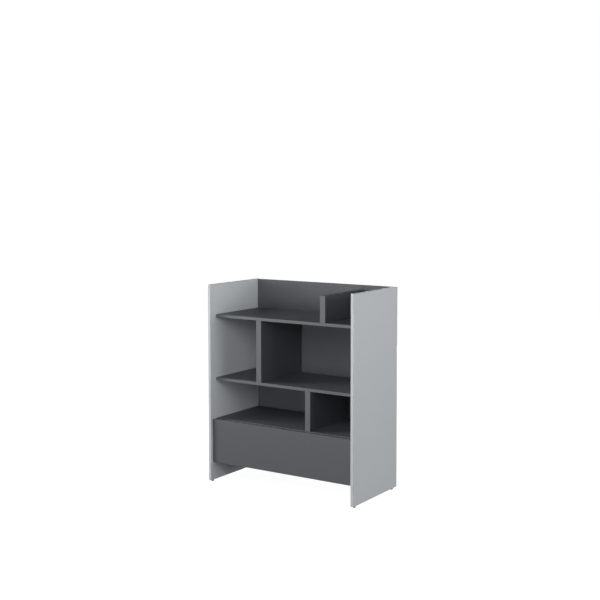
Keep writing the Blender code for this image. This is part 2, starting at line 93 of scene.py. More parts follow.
BEND = 0.0005  # inner radius of a slide member's bends
BEND_SHARE = 0.42  # a bend takes no more of an edge than this
HOLE_RADIUS, SLIDE_SLOT = 0.0021, (0.014, 0.0023)  # a slot's length and end radius
MIDDLE_WINDOW, CAGE_WINDOW = (0.026, 0.0042), (0.020, 0.0050)
POCKET_REACH = 0.0018  # of a cage's pocket above and below its ball's middle
# distances along a slide from its middle
END_HOLES, INNER_HOLES = (-0.183, 0.183), (-0.078, 0.078)
SLIDE_SLOTS = (-0.108, -0.052, 0.052, 0.108)
MIDDLE_WINDOWS = (-0.085, 0.0, 0.085)
CAGE_WINDOWS = (-0.060, -0.030, 0.0, 0.030, 0.060)

# ---------------------------------------------------------------- colours, linear
LIGHT_GREY = (0.478, 0.502, 0.526)
LIGHT_GREY_BAND = (0.325, 0.340, 0.355)
GRAPHITE = (0.0500, 0.0532, 0.0605)
# Lighter than GRAPHITE: a painted highlight along the graphite banded edges.
GRAPHITE_BAND_PAINTED_HIGHLIGHT = (0.0566, 0.0603, 0.0672)
CHIPBOARD = (0.42, 0.30, 0.18)
FIBREBOARD = (0.24, 0.135, 0.065)
DIE_CAST_ZINC = (0.50, 0.50, 0.51)
BALL_STEEL_COLOUR = (0.74, 0.74, 0.75)
BLACK_PLASTIC = (0.014, 0.014, 0.015)


# ---------------------------------------------------------------- materials
def material(name, colour, roughness, metallic=0.0, specular=0.5):
    """A Principled material, with its node tree and its shader."""
    made = bpy.data.materials.new(name)
    made.use_nodes = True
    tree = made.node_tree
    shader = tree.nodes["Principled BSDF"]
    shader.inputs["Base Color"].default_value = (*colour, 1.0)
    shader.inputs["Roughness"].default_value = roughness
    shader.inputs["Metallic"].default_value = metallic
    shader.inputs["Specular IOR Level"].default_value = specular
    made.diffuse_color = (*colour, 1.0)
    return made, tree, shader


def noise(tree, scale, detail=2.0, stretch=(1, 1, 1), distortion=0.0):
    """A noise in object metres, at `scale` cells a metre, finer along an axis where stretch is large."""
    coordinates = tree.nodes.new("ShaderNodeTexCoord")
    mapping = tree.nodes.new("ShaderNodeMapping")
    mapping.inputs["Scale"].default_value = stretch
    texture = tree.nodes.new("ShaderNodeTexNoise")
    texture.inputs["Scale"].default_value = scale
    texture.inputs["Detail"].default_value = detail
    texture.inputs["Distortion"].default_value = distortion
    tree.links.new(coordinates.outputs["Object"], mapping.inputs["Vector"])
    tree.links.new(mapping.outputs["Vector"], texture.inputs["Vector"])
    return texture.outputs["Fac"]


def ranged(tree, value, low, high, start=0.3, end=0.7):
    """Low to high as the value goes from start to end."""
    node = tree.nodes.new("ShaderNodeMapRange")
    node.inputs["From Min"].default_value = start
    node.inputs["From Max"].default_value = end
    node.inputs["To Min"].default_value = low
    node.inputs["To Max"].default_value = high
    tree.links.new(value, node.inputs["Value"])
    return node.outputs["Result"]


def blended(tree, factor, first, second):
    """A colour between two; each is a colour or another node's output."""
    node = tree.nodes.new("ShaderNodeMix")
    node.data_type = "RGBA"
    sockets = {socket.identifier: socket for socket in node.inputs}
    for key, colour in (("A_Color", first), ("B_Color", second)):
        if isinstance(colour, tuple):
            sockets[key].default_value = (*colour, 1.0)
        else:
            tree.links.new(colour, sockets[key])
    tree.links.new(factor, sockets["Factor_Float"])
    return {socket.identifier: socket for socket in node.outputs}["Result_Color"]


def tinted(tree, texture, amount, first, second):
    """The first colour, with up to `amount` of the second where the noise is high."""
    return blended(tree, ranged(tree, texture, 0.0, amount), first, second)


def shade(colour, factor):
    return tuple(channel * factor for channel in colour)


def surfaced(tree, shader, colour, roughness):
    """Links a colour output and a roughness output to the shader."""
    tree.links.new(colour, shader.inputs["Base Color"])
    tree.links.new(roughness, shader.inputs["Roughness"])


def bumped(tree, shader, layers):
    """Stacks bumps: each layer is (height output, depth in metres, strength)."""
    normal = None
    for height, depth, strength in layers:
        node = tree.nodes.new("ShaderNodeBump")
        node.inputs["Distance"].default_value = depth
        node.inputs["Strength"].default_value = strength
        tree.links.new(height, node.inputs["Height"])
        if normal is not None:
            tree.links.new(normal, node.inputs["Normal"])
        normal = node.outputs["Normal"]
    tree.links.new(normal, shader.inputs["Normal"])


def laminate(name, colour, roughness, specular):
    """Plain melamine: a fine pearl texture, faint fleck and a slow drift of tone."""
    made, tree, shader = material(name, colour, roughness, specular=specular)
    drift = noise(tree, 2.6, detail=3.0)
    fleck = noise(tree, 900.0)
    handled = noise(tree, 14.0, detail=4.0, distortion=0.6)
    slow = tinted(tree, drift, 1.0, shade(colour, 0.99), shade(colour, 1.01))
    fine = tinted(tree, fleck, 0.35, slow, shade(colour, 0.86))
    surfaced(tree, shader, fine, ranged(tree, handled, roughness - 0.008, roughness + 0.008))
    pearl = noise(tree, 1250.0)
    peel = noise(tree, 180.0, detail=1.0)
    bumped(tree, shader, [(peel, 0.00006, 0.2), (pearl, 0.00005, 0.35)])
    return made


def edge_band(name, colour, along, roughness, specular):
    """Extruded plastic banding: fine lines along its run and slightly burnished."""
    made, tree, shader = material(name, colour, roughness, specular=specular)
    stretch = tuple(0.02 if axis == along else 1.0 for axis in "xyz")
    lines = noise(tree, 1500.0, stretch=stretch)
    drift = noise(tree, 9.0, detail=3.0)
    scuffs = noise(tree, 60.0, detail=5.0, distortion=1.0)
    slow = tinted(tree, drift, 1.0, shade(colour, 0.97), shade(colour, 1.03))
    rubbed = ranged(tree, scuffs, 0.0, 0.35, start=0.62, end=0.80)
    worn = blended(tree, rubbed, slow, shade(colour, 1.12))
    lined = tinted(tree, lines, 0.25, worn, shade(colour, 0.88))
    surfaced(tree, shader, lined, ranged(tree, scuffs, roughness - 0.02, roughness + 0.03))
    bumped(tree, shader, [(lines, 0.00003, 0.3)])
    return made


def chipboard(name):
    """The raw core that shows inside bores and grooves."""
    made, tree, shader = material(name, CHIPBOARD, 0.85)
    chips = noise(tree, 420.0, detail=6.0, distortion=1.5)
    dust = noise(tree, 2200.0)
    chipped = tinted(tree, chips, 1.0, shade(CHIPBOARD, 0.55), shade(CHIPBOARD, 1.25))
    dusty = tinted(tree, dust, 0.5, chipped, CHIPBOARD)
    surfaced(tree, shader, dusty, ranged(tree, dust, 0.78, 0.95))
    bumped(tree, shader, [(chips, 0.0004, 0.7)])
    return made


def hardboard_face(name, colour):
    """Lacquered face of thin fibreboard: a soft, slightly rippled film."""
    made, tree, shader = material(name, colour, 0.58, specular=0.35)
    drift = noise(tree, 4.0, detail=3.0)
    fibre = noise(tree, 520.0, detail=3.0, stretch=(1.0, 0.25, 1.0))
    slow = tinted(tree, drift, 1.0, shade(colour, 0.95), shade(colour, 1.06))
    fibrous = tinted(tree, fibre, 0.3, slow, shade(colour, 0.8))
    surfaced(tree, shader, fibrous, ranged(tree, fibre, 0.52, 0.66))
    bumped(tree, shader, [(drift, 0.0004, 0.15), (fibre, 0.00006, 0.4)])
    return made


def hardboard_back(name):
    """Raw underside of fibreboard, with the mark of the press screen."""
    made, tree, shader = material(name, FIBREBOARD, 0.9)
    fibres = noise(tree, 700.0, detail=5.0, stretch=(1.0, 0.3, 1.0), distortion=1.2)
    blot = noise(tree, 18.0, detail=3.0)
    fibrous = tinted(tree, fibres, 1.0, shade(FIBREBOARD, 0.65), shade(FIBREBOARD, 1.3))
    blotted = tinted(tree, blot, 0.4, fibrous, shade(FIBREBOARD, 0.8))
    surfaced(tree, shader, blotted, ranged(tree, fibres, 0.8, 0.97))
    screen = noise(tree, 640.0, detail=0.0, stretch=(1.0, 1.0, 0.1))
    bumped(tree, shader, [(screen, 0.0003, 0.5), (fibres, 0.0001, 0.5)])
    return made


def plated_steel(name, colour, roughness, along):
    """Zinc-plated steel: rolling lines along one axis and a cloudy bluish film."""
    made, tree, shader = material(name, colour, roughness, metallic=1.0)
    stretch = tuple(0.03 if axis == along else 1.0 for axis in "xyz")
    rolling = noise(tree, 1100.0, detail=3.0, stretch=stretch)
    film = noise(tree, 45.0, detail=4.0, distortion=0.8)
    cool = (colour[0] * 0.95, colour[1] * 0.98, colour[2] * 1.02)
    cloudy = tinted(tree, film, 1.0, cool, shade(colour, 1.03))
    lined = tinted(tree, rolling, 0.4, cloudy, shade(colour, 0.78))
    surfaced(tree, shader, lined, ranged(tree, film, roughness - 0.03, roughness + 0.04))
    bumped(tree, shader, [(rolling, 0.00003, 0.4)])
    return made


def cast_zinc(name):
    """The grainy, stained skin of a die casting."""
    made, tree, shader = material(name, DIE_CAST_ZINC, 0.42, metallic=1.0)
    skin = noise(tree, 1300.0, detail=4.0)
    stain = noise(tree, 160.0, detail=3.0, distortion=0.5)
    grained = tinted(tree, skin, 1.0, shade(DIE_CAST_ZINC, 0.75), shade(DIE_CAST_ZINC, 1.15))
    stained = tinted(tree, stain, 0.5, grained, shade(DIE_CAST_ZINC, 0.6))
    surfaced(tree, shader, stained, ranged(tree, stain, 0.34, 0.52))
    bumped(tree, shader, [(skin, 0.00008, 0.6)])
    return made


def polished_steel(name):
    """Bright steel under a thin, uneven film of grease."""
    made, tree, shader = material(name, BALL_STEEL_COLOUR, 0.12, metallic=1.0)
    grease = noise(tree, 900.0, detail=3.0)
    greased = tinted(tree, grease, 1.0, shade(BALL_STEEL_COLOUR, 0.85), BALL_STEEL_COLOUR)
    surfaced(tree, shader, greased, ranged(tree, grease, 0.08, 0.22))
    return made


def moulded_plastic(name):
    """Black plastic with a spark-eroded surface and a little dust."""
    made, tree, shader = material(name, BLACK_PLASTIC, 0.5, specular=0.3)
    spark = noise(tree, 1800.0, detail=3.0)
    dust = noise(tree, 240.0, detail=3.0)
    dusty = tinted(tree, dust, 1.0, shade(BLACK_PLASTIC, 0.8), shade(BLACK_PLASTIC, 1.6))
    surfaced(tree, shader, dusty, ranged(tree, dust, 0.42, 0.62))
    bumped(tree, shader, [(spark, 0.00006, 0.6)])
    return made


GREY_FACE = laminate("light_grey_laminate", LIGHT_GREY, 0.52, 0.22)
DARK_FACE = laminate("graphite_laminate", GRAPHITE, 0.50, 0.42)
GREY_BAND = {axis: edge_band(f"light_grey_band_{axis}", LIGHT_GREY_BAND, axis, 0.45, 0.3) for axis in "yz"}
# The graphite bands get a colour lighter than the face, as a painted highlight on the edges.
DARK_BAND_PAINTED_HIGHLIGHT = {axis: edge_band(f"graphite_band_painted_highlight_{axis}", GRAPHITE_BAND_PAINTED_HIGHLIGHT, axis, 0.45, 0.5) for axis in "xyz"}
CORE = chipboard("chipboard_core")
HARDBOARD_FACE = hardboard_face("graphite_hardboard_face", GRAPHITE)
HARDBOARD_BACK = hardboard_back("hardboard_underside")
SLIDE_STEEL = plated_steel("zinc_plated_slide", (0.60, 0.61, 0.62), 0.38, "y")
CAGE_STEEL = plated_steel("ball_cage_steel", (0.68, 0.67, 0.64), 0.32, "y")
SCREW_STEEL = plated_steel("zinc_plated_screw", (0.68, 0.68, 0.66), 0.28, "z")
CAM_ZINC = cast_zinc("die_cast_cam")
BALL_STEEL = polished_steel("ball_steel")
PLASTIC = moulded_plastic("glide_plastic")


# ---------------------------------------------------------------- mesh helpers
def add_box(mesh, low, high):
    size, middle = Vector(high) - Vector(low), (Vector(high) + Vector(low)) / 2
    matrix = Matrix.Translation(middle) @ Matrix.Diagonal((*size, 1.0))
    bmesh.ops.create_cube(mesh, size=1.0, matrix=matrix)


def facing(direction, at=(0, 0, 0)):
    """Turns +Z to a direction and moves the origin to a point."""
    turn = Vector((0, 0, 1)).rotation_difference(Vector(direction))
    return Matrix.Translation(at) @ turn.to_matrix().to_4x4()


def axes(x, z, at):
    """Turns +X and +Z to two directions at right angles and moves the origin to a point."""
    x, z = Vector(x), Vector(z)
    turn = Matrix((x, z.cross(x), z)).transposed()
    return Matrix.Translation(at) @ turn.to_4x4()


def add_rod(mesh, start, end, radius, steps=32):
    along = Vector(end) - Vector(start)
    bmesh.ops.create_cone(
        mesh, cap_ends=True, segments=steps, radius1=radius, radius2=radius, depth=along.length,
        matrix=facing(along, (Vector(start) + Vector(end)) / 2),
    )


def add_prism(mesh, outline, low, high, matrix=Matrix.Identity(4)):
    """A closed prism: an (x, y) outline drawn from z = low to z = high, then moved by the matrix."""
    rings = [[mesh.verts.new(matrix @ Vector((x, y, z))) for x, y in outline] for z in (low, high)]
    mesh.faces.new(rings[0][::-1])
    mesh.faces.new(rings[1])
    for i in range(len(outline)):
        j = (i + 1) % len(outline)
        mesh.faces.new((rings[0][i], rings[0][j], rings[1][j], rings[1][i]))


def add_turned(mesh, profile, steps=32, matrix=Matrix.Identity(4)):
    """A turned solid; its profile of (radius, z) starts and ends on the axis."""
    rings = []
    for radius, z in profile:
        count = steps if radius > 0 else 1
        angles = [2 * pi * (i + 0.5) / steps for i in range(count)]
        points = [Vector((radius * cos(a), radius * sin(a), z)) for a in angles]
        rings.append([mesh.verts.new(matrix @ point) for point in points])
    for lower, upper in zip(rings, rings[1:]):
        for i in range(steps):
            j = (i + 1) % steps
            corners = [lower[i % len(lower)], lower[j % len(lower)]]
            corners += [upper[j % len(upper)], upper[i % len(upper)]]
            mesh.faces.new([v for k, v in enumerate(corners) if v not in corners[:k]])


def cross_outline(length, width):
    """A plus sign, anticlockwise."""
    a, b = length / 2, width / 2
    right, top = [(a, -b), (a, b)], [(b, b), (b, a), (-b, a), (-b, b)]
    left, bottom = [(-a, b), (-a, -b)], [(-b, -b), (-b, -a), (b, -a), (b, -b)]
    return top + left + bottom + right


def circle_outline(radius, steps):
    return [(radius * cos(2 * pi * i / steps), radius * sin(2 * pi * i / steps)) for i in range(steps)]


def slot_outline(length, radius, steps=10):
    """A slot with round ends, along the outline's y."""
    half = length / 2 - radius
    angles = [pi * i / steps for i in range(steps + 1)]
    upper = [(radius * cos(a), half + radius * sin(a)) for a in angles]
    return upper + [(-x, -y) for x, y in upper]


def rounded(outline, bend, steps=4):
    """Rounds the right-angled corners of a sheet section's outline that runs anticlockwise."""
    made = []
    for i, here in enumerate(outline):
        corner, before = Vector(here), Vector(outline[i - 1])
        after = Vector(outline[(i + 1) % len(outline)])
        back, on = before - corner, after - corner
        outside = (corner - before).cross(on) > 0
        radius = min(bend + SHEET if outside else bend, BEND_SHARE * min(back.length, on.length))
        back.normalize()
        on.normalize()
        centre = corner + radius * (back + on)
        for k in range(steps + 1):
            angle = pi / 2 * k / steps
            made.append(tuple(centre - radius * (cos(angle) * on + sin(angle) * back)))
    return made


def channel(web, tip, half, sheet, lip=0.0):
    """Outline (x, z) of a C section, anticlockwise.

    Web and tip are the x of its web's outside and its flanges' ends, and lip is how far those turn in.
    """
    step = sheet if tip > web else -sheet
    lower = [(web, -half), (tip, -half)]
    if lip:
        lower += [(tip, lip - half), (tip - step, lip - half), (tip - step, sheet - half)]
    else:
        lower += [(tip, sheet - half)]
    lower += [(web + step, sheet - half)]
    outline = lower + [(x, -z) for x, z in reversed(lower)]
    return outline if tip > web else outline[::-1]


def object_of(name, mesh, materials):
    """A finished bmesh as an object."""
    bmesh.ops.recalc_face_normals(mesh, faces=mesh.faces)
    data = bpy.data.meshes.new(name)
    mesh.to_mesh(data)
    mesh.free()
    made = bpy.data.objects.new(name, data)
    for finish in materials:
        data.materials.append(finish)
    bpy.context.scene.collection.objects.link(made)
    return made


def cut(piece, shapes, inside=None):
    """Takes each shape, a function that fills a bmesh, out of a piece; inside is the cut's material."""
    cutters = []
    for build in shapes:
        mesh = bmesh.new()
        build(mesh)
        cutter = object_of("cutter", mesh, [inside or piece.data.materials[0]])
        modifier = piece.modifiers.new("cut", "BOOLEAN")
        modifier.operation = "DIFFERENCE"
        modifier.solver = "EXACT"
        modifier.material_mode = "TRANSFER"
        modifier.object = cutter
        cutters.append(cutter)
    bpy.context.view_layer.update()
    graph = bpy.context.evaluated_depsgraph_get()
    data = bpy.data.meshes.new_from_object(piece.evaluated_get(graph))
    piece.modifiers.clear()
    piece.data = data
    for cutter in cutters:
        bpy.data.objects.remove(cutter)


def rods(*holes):
    """A shape with one closed cylinder for each (start, end, radius)."""

    def build(mesh):
        for hole in holes:
            add_rod(mesh, *hole)

    return build


def box(low, high):
    """A shape that is one box."""

    def build(mesh):
        add_box(mesh, low, high)

    return build


def prism(outline, low, high):
    """A shape that is one prism along z."""

    def build(mesh):
        add_prism(mesh, outline, low, high)

    return build


def bore(mouth, direction, depth, radius):
    """A hole for rods, from just outside a board's face: room for a fitting of that depth and radius."""
    mouth, direction = Vector(mouth), Vector(direction)
    return mouth - PAST * direction, mouth + (depth + GAP) * direction, radius + GAP


def finished(piece, body, nodes=(), angle=32.0):
    """Shades a piece, joins it to a body and hides the CAD nodes it stands for."""
    data = piece.data
    data.polygons.foreach_set("use_smooth", [True] * len(data.polygons))
    data.set_sharp_from_angle(angle=radians(angle))
    normals = piece.modifiers.new("normals", "WEIGHTED_NORMAL")
    normals.keep_sharp = True
    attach(piece, body)
    if nodes:
        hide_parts(*nodes)


# ---------------------------------------------------------------- places
def middle_of(node):
    low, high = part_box(node)
    return (Vector(low) + Vector(high)) / 2


def cam_centre(node, sign):
    """Middle of a cam's open face, from the box of the cam and its bolt."""
    low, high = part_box(node)
    x = high[0] - CAM_RADIUS if sign < 0 else low[0] + CAM_RADIUS
    return Vector((x, (low[1] + high[1]) / 2, low[2]))


def faces_of(node, sign):
    """The x of a board's faces on the side of the case's middle and on the other side."""
    low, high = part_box(node)
    return (high[0], low[0]) if sign < 0 else (low[0], high[0])


def back_bolt_y():
    """Depth of the bolts of the cams that are sunk in the rear of the back panel."""
    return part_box("back_panel")[1][1] - BOLT_LEVEL


# ---------------------------------------------------------------- boards
def panel(node, face, bands, softened=ARRIS):
    """A board on its CAD node's box. Bands are (axis, side, material) of each banded edge."""
    low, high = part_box(node)
    mesh = bmesh.new()
    add_box(mesh, low, high)
    bmesh.ops.bevel(mesh, geom=mesh.edges[:], offset=softened, segments=3, profile=0.5, affect="EDGES")
    materials = [face]
    for axis, side, banding in bands:
        index = "xyz".index(axis)
        level = (low[index] + BAND) if side < 0 else (high[index] - BAND)
        at, across = Vector((0, 0, 0)), Vector((0, 0, 0))
        at[index], across[index] = level, side
        whole = mesh.verts[:] + mesh.edges[:] + mesh.faces[:]
        bmesh.ops.bisect_plane(mesh, geom=whole, plane_co=at, plane_no=across)
        if banding not in materials:
            materials.append(banding)
        for polygon in mesh.faces:
            if side * (polygon.calc_center_median()[index] - level) > 0:
                polygon.material_index = materials.index(banding)
    return object_of(node + "_board", mesh, materials)


def both(axis, banding):
    """Bands on both edges across an axis."""
    return [(axis, -1, banding), (axis, 1, banding)]


def side_panel(side, sign):
    node = f"side_panel_{side}"
    piece = panel(node, GREY_FACE, both("z", GREY_BAND["y"]) + both("y", GREY_BAND["z"])[::-1])
    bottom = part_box(node)[0][2]
    inner, outward = faces_of(node, sign)[0], (sign, 0, 0)
    bolts = []
    for shelf_node in SHELVES:
        for spot in SPOTS:
            at = cam_centre(f"cam_{shelf_node}_{side}_{spot}", sign)
            bolts.append((inner, at.y, at.z + BOLT_LEVEL))
    bolts += [(inner, back_bolt_y(), z) for z in BACK_CAM_Z]
    holes = [bore(at, outward, BOLT_THREAD_LENGTH, BOLT_THREAD_RADIUS) for at in bolts]
    stems = []
    for spot in SPOTS:
        at = middle_of(f"screw_slide_outer_{side}_{spot}")
        holes.append(bore((inner, at.y, at.z), outward, SLIDE_SCREW_DEPTH, SLIDE_SCREW_RADIUS + GAP))
        at = middle_of(f"glide_{side}_{spot}")
        stems.append(bore((at.x, at.y, bottom), (0, 0, 1), GLIDE_STEM_LENGTH, GLIDE_STEM_RADIUS))
    cut(piece, [rods(*holes), rods(*stems)], CORE)
    finished(piece, "case", [node])


def shelf(node):
    piece = panel(node, DARK_FACE, [("y", -1, DARK_BAND_PAINTED_HIGHLIGHT["x"])])
    low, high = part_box(node)
    up = Vector((0, 0, 1))
    cams, bolts = [], []
    for side, sign in SIDES.items():
        for spot in SPOTS:
            at = cam_centre(f"cam_{node}_{side}_{spot}", sign)
            cams.append(bore(at, up, CAM_HEIGHT, CAM_RADIUS))
            inside = at + BOLT_LEVEL * up
            bolts.append((inside, inside + Vector((sign * (BOLT_REACH + PAST), 0, 0)), BOLT_RADIUS + GAP))
    heads, shanks = [], []
    for divider_node, under in DIVIDERS.items():
        for spot in SPOTS:
            if under == node:
                at = middle_of(f"{divider_node}_screw_{spot}")
                mouth = (at.x, at.y, low[2])
                heads.append(bore(mouth, up, CONNECTOR_HEAD_HEIGHT, CONNECTOR_HEAD))
                shanks.append(bore(mouth, up, high[2] - low[2] + PAST, CONNECTOR_SHANK))
    reach = CONNECTOR_LENGTH - (high[2] - low[2]) - GAP  # past the back panel, as thick as a shelf
    z = (low[2] + high[2]) / 2
    pilots = [bore((x, high[1], z), (0, -1, 0), reach, CONNECTOR_THREAD) for x in BACK_SCREW_X]
    cut(piece, [rods(*cams, *heads), rods(*bolts, *shanks), rods(*pilots)], CORE)
    finished(piece, "case", [node])


def divider(node):
    bands = [("z", 1, DARK_BAND_PAINTED_HIGHLIGHT["y"]), ("y", -1, DARK_BAND_PAINTED_HIGHLIGHT["z"])]
    piece = panel(node, DARK_FACE, bands if node == "divider_top" else bands[1:])
    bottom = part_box(node)[0][2]
    pilots = []
    for spot in SPOTS:
        screw = f"{node}_screw_{spot}"
        at, depth = middle_of(screw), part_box(screw)[1][2] - bottom
        pilots.append(bore((at.x, at.y, bottom), (0, 0, 1), depth, CONNECTOR_THREAD))
    cut(piece, [rods(*pilots)], CORE)
    finished(piece, "case", [node])


def back_panel():
    node = "back_panel"
    piece = panel(node, DARK_FACE, both("z", DARK_BAND_PAINTED_HIGHLIGHT["x"]))
    low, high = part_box(node)
    inward, thickness = (0, -1, 0), high[1] - low[1]
    heads, shanks, cams, bolts = [], [], [], []
    for shelf_node in SHELVES:
        z = middle_of(shelf_node).z
        for x in BACK_SCREW_X:
            mouth = (x, high[1], z)
            heads.append(bore(mouth, inward, CONNECTOR_HEAD_HEIGHT, CONNECTOR_HEAD))
            shanks.append(bore(mouth, inward, thickness + PAST, CONNECTOR_SHANK))
    y = back_bolt_y()
    for sign in SIDES.values():
        x = sign * (high[0] + GAP - BOLT_REACH)
        for z in BACK_CAM_Z:
            cams.append(bore((x, high[1], z), inward, CAM_HEIGHT, CAM_RADIUS))
            bolts.append(((x, y, z), (x + sign * (BOLT_REACH + PAST), y, z), BOLT_RADIUS + GAP))
    cut(piece, [rods(*heads, *cams), rods(*shanks, *bolts)], CORE)
    finished(piece, "case", [node])


# ---------------------------------------------------------------- drawer
def drawer_front():
    node = "drawer_front"
    piece = panel(node, DARK_FACE, both("z", DARK_BAND_PAINTED_HIGHLIGHT["x"]) + both("x", DARK_BAND_PAINTED_HIGHLIGHT["z"]))
    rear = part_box(node)[1][1]
    low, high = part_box("drawer_bottom")
    groove = box((low[0] - GAP, low[1] - GAP, low[2] - GAP), (high[0] + GAP, rear + PAST, high[2] + GAP))
    pins = []
    for side in SIDES:
        x = middle_of(f"drawer_side_{side}").x
        for z in DRAWER_FIXING_Z:
            pins.append(bore((x, rear, z), (0, -1, 0), BOLT_THREAD_LENGTH - GAP, BOLT_THREAD_RADIUS))
    cut(piece, [groove, rods(*pins)], CORE)
    finished(piece, "drawer", [node])


def drawer_side(side, sign):
    node = f"drawer_side_{side}"
    bands = both("z", DARK_BAND_PAINTED_HIGHLIGHT["y"]) + [("y", 1, DARK_BAND_PAINTED_HIGHLIGHT["z"])]
    piece = panel(node, DARK_FACE, bands, DRAWER_ARRIS)
    low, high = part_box(node)
    inner, outer = faces_of(node, sign)
    inward, outward = (-sign, 0, 0), (sign, 0, 0)
    bottom_low, bottom_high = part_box("drawer_bottom")
    ends = sorted((inner - sign * PAST, inner + sign * GROOVE_DEPTH))
    groove_low = (ends[0], low[1] - PAST, bottom_low[2] - GAP)
    groove_high = (ends[1], high[1] + PAST, bottom_high[2] + GAP)
    holes, crossing = [], []
    for spot in SPOTS:
        at = middle_of(f"screw_slide_inner_{side}_{spot}")
        holes.append(bore((outer, at.y, at.z), inward, SLIDE_SCREW_DEPTH, SLIDE_SCREW_RADIUS + GAP))
    cam_y, screw_y = low[1] + BOLT_REACH, middle_of("drawer_back").y
    for z in DRAWER_FIXING_Z:
        holes.append(bore((inner, cam_y, z), outward, SMALL_CAM_DEPTH, SMALL_CAM_RADIUS))
        holes.append(bore((outer, screw_y, z), inward, CONNECTOR_HEAD_HEIGHT, CONNECTOR_HEAD))
        pin = ((inner + outer) / 2, low[1], z)
        crossing.append(bore(pin, (0, 1, 0), BOLT_REACH - GAP, BOLT_THREAD_RADIUS))
        crossing.append(bore((outer, screw_y, z), inward, DRAWER_BOARD + PAST, CONNECTOR_SHANK))
    cut(piece, [box(groove_low, groove_high), rods(*holes), rods(*crossing)], CORE)
    finished(piece, "drawer", [node])


def drawer_back():
    node = "drawer_back"
    piece = panel(node, DARK_FACE, both("z", DARK_BAND_PAINTED_HIGHLIGHT["x"]), DRAWER_ARRIS)
    y = middle_of(node).y
    pilots, shanks = [], []
    for sign in SIDES.values():
        end = faces_of(node, sign)[1]
        for z in DRAWER_FIXING_Z:
            mouth, inward = (end, y, z), (-sign, 0, 0)
            pilots.append(bore(mouth, inward, CONNECTOR_LENGTH - DRAWER_BOARD - GAP, CONNECTOR_THREAD))
            shanks.append(bore(mouth, inward, CONNECTOR_SHANK_END - DRAWER_BOARD - GAP, CONNECTOR_SHANK))
    cut(piece, [rods(*pilots), rods(*shanks)], CORE)
    finished(piece, "drawer", [node])


def drawer_bottom():
    """Thin fibreboard: its upper face is lacquered, and the rest is raw."""
    node = "drawer_bottom"
    piece = panel(node, HARDBOARD_FACE, [], HARDBOARD_ARRIS)
    piece.data.materials.append(HARDBOARD_BACK)
    for polygon in piece.data.polygons:
        if polygon.normal.z < 0.5:
            polygon.material_index = 1
    finished(piece, "drawer", [node])


def batten():
    node = "drawer_bottom_batten"
    piece = panel(node, DARK_FACE, both("x", DARK_BAND_PAINTED_HIGHLIGHT["y"]), DRAWER_ARRIS)
    finished(piece, "drawer", [node])


# ---------------------------------------------------------------- fittings
def cam_shape(radius, height, bolt_level, bolt_radius):
    """A cam at the origin, its open face down, with its bolt to -X."""
    lip, edge, dish = 0.0011, 0.0003, 0.0005  # width of the rim, its chamfer, and the face inside it
    cross_width, cross_depth, arrow_depth = 0.0016, 0.0028, 0.0006
    mesh = bmesh.new()
    profile = [
        (0.0, dish), (radius - lip - edge, dish), (radius - lip, 0.0), (radius - edge, 0.0),
        (radius, edge), (radius, height - edge), (radius - edge, height), (0.0, height),
    ]
    add_turned(mesh, profile, 40)
    piece = object_of("cam", mesh, [CAM_ZINC])
    tip, back, wide = radius - 1.5 * lip, radius - 2.9 * lip, 0.9 * lip
    arrow = [(-back, -wide), (-back, wide), (-tip, 0)]
    recess = cross_outline(1.12 * radius, cross_width)
    cut(piece, [prism(recess, -PAST, cross_depth), prism(arrow, -PAST, dish + arrow_depth)])

    data = piece.data
    bolt = bmesh.new()
    bolt.from_mesh(data)
    pitch, crest, root, tip_radius, thread_end = 0.0017, 0.0008, 0.0019, 0.0013, 0.0105
    profile = [(0.0, 0.0), (bolt_radius, 0.0), (bolt_radius, BOLT_REACH - radius - GAP)]
    start = BOLT_REACH - radius + GAP
    for i in range(6):
        profile += [(root, start + i * pitch), (BOLT_THREAD_RADIUS, start + i * pitch + crest)]
    profile += [(tip_radius, start + thread_end), (0.0, start + thread_end)]
    add_turned(bolt, profile, 16, facing((-1, 0, 0), (-radius, 0, bolt_level)))
    bolt.to_mesh(data)
    bolt.free()
    bpy.data.objects.remove(piece)
    return data


def screw_shape(profile, recess, depth):
    """A screw whose head is level with z = 0 and faces up."""
    mesh = bmesh.new()
    add_turned(mesh, profile, 32)
    piece = object_of("screw", mesh, [SCREW_STEEL])
    cut(piece, [prism(recess, -depth, PAST)])
    data = piece.data
    bpy.data.objects.remove(piece)
    return data


def threaded(radius, start, end, pitch):
    """Profile points of a thread between two depths, from the lower end up."""
    root, crest = 0.80 * radius, 0.45 * pitch
    points, z = [], end
    while z < start - pitch:
        points += [(root, z), (radius, z + crest)]
        z += pitch
    return points + [(root, start)]


def connector_screw():
    """A long coarse thread, a plain shank, and a flat head with a hexagon socket."""
    tip, shank_end = -CONNECTOR_LENGTH, -CONNECTOR_SHANK_END
    pitch, shoulder, chamfer = 0.003, 0.0002, 0.0003
    hexagon, socket_depth = 0.0023, 0.0026
    profile = [(0.0, tip)]
    profile += threaded(CONNECTOR_THREAD, shank_end, tip + CONNECTOR_THREAD, pitch)
    profile += [(CONNECTOR_SHANK, shank_end + shoulder), (CONNECTOR_SHANK, -CONNECTOR_HEAD_HEIGHT)]
    profile += [(CONNECTOR_HEAD - shoulder, -2 * chamfer), (CONNECTOR_HEAD - chamfer, 0.0), (0.0, 0.0)]
    return screw_shape(profile, circle_outline(hexagon, 6), socket_depth)


